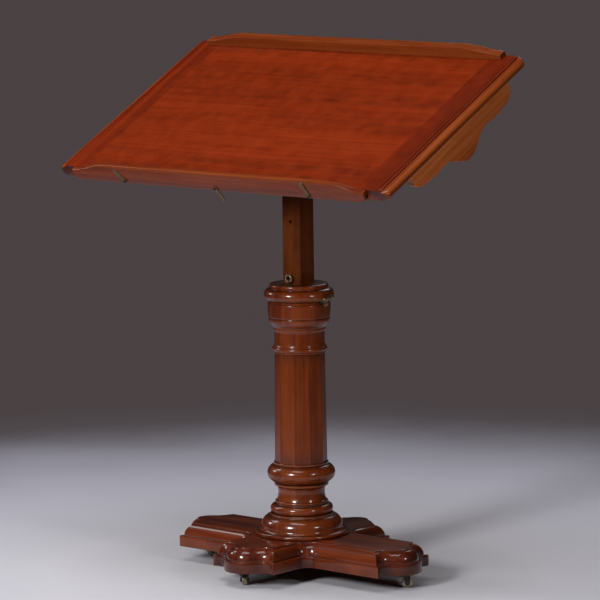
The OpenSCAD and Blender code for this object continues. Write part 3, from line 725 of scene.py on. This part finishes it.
# ---- Metal fittings ------------------------------------------------------------
# Cast and turned brass, dulled with age, for the pin, its ring, the bush, the pivot's
# washers and the wheels. The forks are dark bronze, the page clips brown brass, and the
# bolts and axles oiled steel.
def aged_metal(name, bright, dull, rough):
    """Metal that has tarnished in patches, with fine scratches."""
    material, tree, out = blank_material(name)
    place = node_in(tree, "ShaderNodeTexCoord").outputs["Object"]
    patch = node_in(tree, "ShaderNodeTexNoise", {
        "Vector": place, "Scale": 160.0, "Detail": 5.0}).outputs[0]
    fine = node_in(tree, "ShaderNodeTexNoise", {
        "Vector": place, "Scale": 2400.0, "Detail": 2.0}).outputs[0]
    # The wear group darkens the metal's hollows too: dirt and painted shade.
    worn_and_shaded = node_in(tree, "ShaderNodeGroup", {
        "Color": ramp(tree, patch, (0.34, dull), (0.66, bright)),
        "Roughness": ranged(tree, patch, 0.3, 0.7, rough + 0.15, rough - 0.05),
        "Rubbed": (*(min(1, c * 1.3) for c in bright), 1),
        "Dirt and shade": (0.02, 0.016, 0.012, 1), "Amount": 1.0}, node_tree=wear_shade_group)
    bump = node_in(tree, "ShaderNodeBump", {
        "Height": fine, "Strength": 0.15, "Distance": 0.0001})
    skin = node_in(tree, "ShaderNodeBsdfPrincipled", {
        "Base Color": worn_and_shaded.outputs["Color"], "Roughness": worn_and_shaded.outputs["Roughness"],
        "Normal": bump.outputs[0], "Metallic": 1.0})
    tree.links.new(skin.outputs[0], out.inputs[0])
    return material


brass = aged_metal("aged brass", (0.46, 0.38, 0.23), (0.10, 0.075, 0.045), 0.30)
castor_brass = aged_metal("castor brass", (0.52, 0.46, 0.33), (0.17, 0.14, 0.09), 0.38)
fork_bronze = aged_metal("castor fork bronze", (0.045, 0.036, 0.028), (0.015, 0.012, 0.010), 0.40)
clip_brass = aged_metal("clip brass", (0.22, 0.15, 0.085), (0.09, 0.055, 0.035), 0.50)
steel = aged_metal("oiled steel", (0.070, 0.065, 0.060), (0.020, 0.018, 0.016), 0.40)
for node, made in frame["nodes"].items():
    if node.startswith("castor"):
        metal = steel if "axle" in node else castor_brass if "wheel" in node else fork_bronze
    elif node in ("centre_bolt", "centre_washer", "pivot_bolt"):
        metal = steel
    elif node in ("clamp_bush", "ring_pin", "pull_ring", "pivot_washers"):
        metal = brass
    elif node.startswith("page_clip"):
        metal = clip_brass
    else:
        continue
    finish_node(made, metal)


# ---- Wings ---------------------------------------------------------------------
# The clamp's thumbscrew and the pivot's nut: cast brass, each with a turned hub and two
# rounded ears that are filed smooth at their rims.
def winged(name, hub, ear, lean, place):
    """A hub turned about X from (x, radius) points, with an ear (x, out, radius, thick)
    on each side of it, turned by lean degrees. Sizes are in millimetres."""
    sides = 40
    turns = [k * math.tau / sides for k in range(sides)]
    work = bmesh.new()
    rings = [[work.verts.new((x * mm, r * mm * math.cos(a), r * mm * math.sin(a)))
              for a in turns] for x, r in hub]
    for one, two in zip(rings, rings[1:]):
        for k in range(sides):
            n = (k + 1) % sides
            work.faces.new((one[k], one[n], two[n], two[k]))
    if hub[0] != hub[-1]:
        work.faces.new(rings[0])
        work.faces.new(rings[-1])
    ear_x, out, radius, thick = ear
    neck = radius * 0.62
    for side in (-1, 1):
        edge = [(ear_x - neck * 1.2, hub[1][1] * 0.4), (ear_x - neck, out * 0.62)]
        edge += arc((ear_x, out), radius, 205, -25, 26)
        edge += [(ear_x + neck, out * 0.62), (ear_x + neck * 0.9, hub[1][1] * 0.4)]
        low = [work.verts.new((x * mm, side * y * mm, -thick * mm / 2)) for x, y in edge]
        high = [work.verts.new((x * mm, side * y * mm, thick * mm / 2)) for x, y in edge]
        caps = [work.faces.new(low), work.faces.new(high)]
        for k in range(len(edge)):
            n = (k + 1) % len(edge)
            work.faces.new((low[k], low[n], high[n], high[k]))
        rim = [e for cap in caps for e in cap.edges]
        bmesh.ops.bevel(work, geom=rim, offset=thick * mm * 0.3, offset_type="OFFSET", segments=3,
                        profile=0.5, affect="EDGES", clamp_overlap=True)
    turn = place @ Matrix.Rotation(math.radians(lean), 4, "X")
    return piece_from(work, name, turn, sharp=35)


clamp_low, clamp_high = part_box("clamp_bush")
clamp_place = Matrix.Translation((0, axis_y, (clamp_low.z + clamp_high.z) / 2))
made = winged("thumb_screw", [(20.2, 2.2), (21, 3), (57.5, 3), (57.5, 5.1), (57.9, 5.5),
                              (59.6, 5.5), (60, 5.1), (60.4, 4.2), (63.5, 3.9), (66.4, 4.4),
                              (67.4, 3.4)],
              (67, 8.5, 5.5, 2.6), 37, clamp_place)
fit_piece(made, brass, "clamp_screw", "brass", "clamp_screw")

bolt_reach = pivot_high.x / mm + 0.15
bore = 5.2
nut_hub = ((0, bore), (0, 7.2), (0.6, 8), (4, 8), (6, 7), (9.4, 6.6), (10, 6), (10, bore),
           (0, bore))
made = winged("pivot_wing_nut", [(bolt_reach + x, r) for x, r in nut_hub],
              (bolt_reach + 9, 14, 8, 3), 20, desk_frame)
fit_piece(made, brass, "wing_nut", "brass", "wing_nut")


# ---- Screws --------------------------------------------------------------------
# Slotted wood screws of brass and steel, driven by hand, so no two slots line up: three
# through each castor's plate, eight in the bearers, five under the rail, one in each clip.
def screw_tree():
    """Geometry Nodes: a slotted screw on each point, its head along the point's facing."""
    tree, given, result = new_group(
        "GeometryNodeTree", "slotted screws",
        {"Geometry": "Geometry", "Head radius": "Float", "Head height": "Float",
         "Slot width": "Float", "Shank radius": "Float", "Shank length": "Float",
         "Seed": "Int", "Metal": "Material"}, {"Geometry": "Geometry"})
    head_radius, head_height = given["Head radius"], given["Head height"]

    def vector(x, y, z):
        return node_in(tree, "ShaderNodeCombineXYZ", {0: x, 1: y, 2: z}).outputs[0]

    def raised(geometry, height):
        return node_in(tree, "GeometryNodeTransform", {
            "Geometry": geometry, "Translation": vector(0.0, 0.0, height)}).outputs[0]

    head = node_in(tree, "GeometryNodeMeshCone", {
        "Vertices": 28, "Radius Bottom": head_radius, "Depth": head_height,
        "Radius Top": maths(tree, "MULTIPLY", head_radius, 0.8)}).outputs["Mesh"]
    slot = node_in(tree, "GeometryNodeMeshCube", {"Size": vector(
        maths(tree, "MULTIPLY", head_radius, 2.5), given["Slot width"],
        head_height)}).outputs["Mesh"]
    cut = node_in(tree, "GeometryNodeMeshBoolean", {
        0: head, 1: raised(slot, maths(tree, "MULTIPLY", head_height, 0.95))},
        operation="DIFFERENCE")
    shank = node_in(tree, "GeometryNodeMeshCylinder", {
        "Vertices": 16, "Radius": given["Shank radius"],
        "Depth": given["Shank length"]}).outputs["Mesh"]
    under_head = maths(tree, "MULTIPLY", given["Shank length"], -0.5)
    screw = node_in(tree, "GeometryNodeJoinGeometry", {0: cut.outputs["Mesh"]})
    tree.links.new(raised(shank, under_head), screw.inputs[0])
    facing = node_in(tree, "GeometryNodeInputNamedAttribute", {"Name": "facing"},
                     data_type="FLOAT_VECTOR")
    stand = node_in(tree, "FunctionNodeAlignRotationToVector", {"Vector": facing.outputs[0]},
                    axis="Z")
    spin = node_in(tree, "FunctionNodeRandomValue", {"Seed": given["Seed"]}, data_type="FLOAT")
    for socket in spin.inputs:
        if socket.type == "VALUE" and socket.name == "Max":
            socket.default_value = math.pi
    angle = next(socket for socket in spin.outputs if socket.type == "VALUE" and socket.enabled)
    about = node_in(tree, "FunctionNodeAxisAngleToRotation", {"Axis": (0, 0, 1), "Angle": angle})
    turned_round = node_in(tree, "FunctionNodeRotateRotation", {
        0: stand.outputs[0], 1: about.outputs[0]}, rotation_space="LOCAL")
    put = node_in(tree, "GeometryNodeInstanceOnPoints", {
        "Points": given["Geometry"], "Instance": screw.outputs[0],
        "Rotation": turned_round.outputs[0]})
    real = node_in(tree, "GeometryNodeRealizeInstances", {0: put.outputs[0]})
    clad = node_in(tree, "GeometryNodeSetMaterial", {
        "Geometry": real.outputs[0], "Material": given["Metal"]})
    tree.links.new(clad.outputs[0], result["Geometry"])
    return tree


screws = screw_tree()


def drive_screws(name, groups, seed, metal):
    """One mesh of screws from groups of (places, facing, sizes), each with its own modifier."""
    work = bmesh.new()
    for number, (places, facing, sizes) in enumerate(groups):
        mesh = bpy.data.meshes.new(name + " points")
        mesh.from_pydata([tuple(p) for p in places], [], [])
        mesh.attributes.new("facing", "FLOAT_VECTOR", "POINT").data.foreach_set(
            "vector", [value for _ in places for value in facing])
        holder = bpy.data.objects.new(name + " points", mesh)
        scene.collection.objects.link(holder)
        modifier = holder.modifiers.new("screws", "NODES")
        modifier.node_group = screws
        labels = ("Head radius", "Head height", "Slot width", "Shank radius", "Shank length")
        values = dict(zip(labels, (size * mm for size in sizes)), Seed=seed + number, Metal=metal)
        for item in screws.interface.items_tree:
            if item.in_out == "INPUT" and item.name in values:
                modifier[item.identifier] = values[item.name]
        bpy.context.view_layer.update()
        result = bpy.data.meshes.new_from_object(
            holder.evaluated_get(bpy.context.evaluated_depsgraph_get()))
        holder.modifiers.remove(modifier)
        work.from_mesh(result)
        for old in (result, mesh):
            if old.users == 0:
                bpy.data.meshes.remove(old)
        bpy.data.objects.remove(holder)
    mesh = bpy.data.meshes.new(name)
    work.to_mesh(mesh)
    work.free()
    made = bpy.data.objects.new(name, mesh)
    scene.collection.objects.link(made)
    return made


def across_desk(places):
    """Places on the desk from millimetres across, up the slope and square to it."""
    return on_desk([Vector(place) * mm for place in places])


plate_z, screw_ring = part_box("castor_screws")[0].z + 0.25 * mm, 11 * mm
# Each castor as millimetres across and back from the column, and the turn of its plate.
castor_places = ((0, -152, 131), (224, 0, 41), (0, 152, 100), (-224, 0, 41))
plate_places = []
for x, y, angle in castor_places:
    for k in range(3):
        a = math.radians(60 + 120 * k + angle)
        plate_places.append((x * mm + screw_ring * math.cos(a),
                             axis_y + y * mm + screw_ring * math.sin(a), plate_z))
plate_screw = (2.6, 0.25, 0.8, 1.5, 11)
made = drive_screws("castor_plate_screws", [(plate_places, (0, 0, -1), plate_screw)], 5, steel)
fit_piece(made, steel, "stand", "steel", "castor_screws")

bearer_places = across_desk([(x, v, 24) for x in (-31.3, 31.3) for v in (-128, -51.2, 51.2, 128)])
rail_length = 460
rail_places = across_desk([((k / 4 - 0.5) * rail_length, 199.5, 38) for k in range(5)])
board_screw = (4, 2.5, 1.0, 2, 20)
made = drive_screws("board_screws", [(bearer_places, -desk_normal, board_screw),
                                     (rail_places, -desk_normal, board_screw)], 11, brass)
fit_piece(made, brass, "desk", "brass", "bearer_screws", "rail_screws")

clip_places = across_desk([(x, -219.6, 39) for x in (-208, 0, 208)])
clip_screw = (2.8, 1.4, 0.7, 1.5, 8)
made = drive_screws("clip_screw_heads", [(clip_places, -slope, clip_screw)], 3, steel)
fit_piece(made, steel, "desk", "steel", "clip_screws")
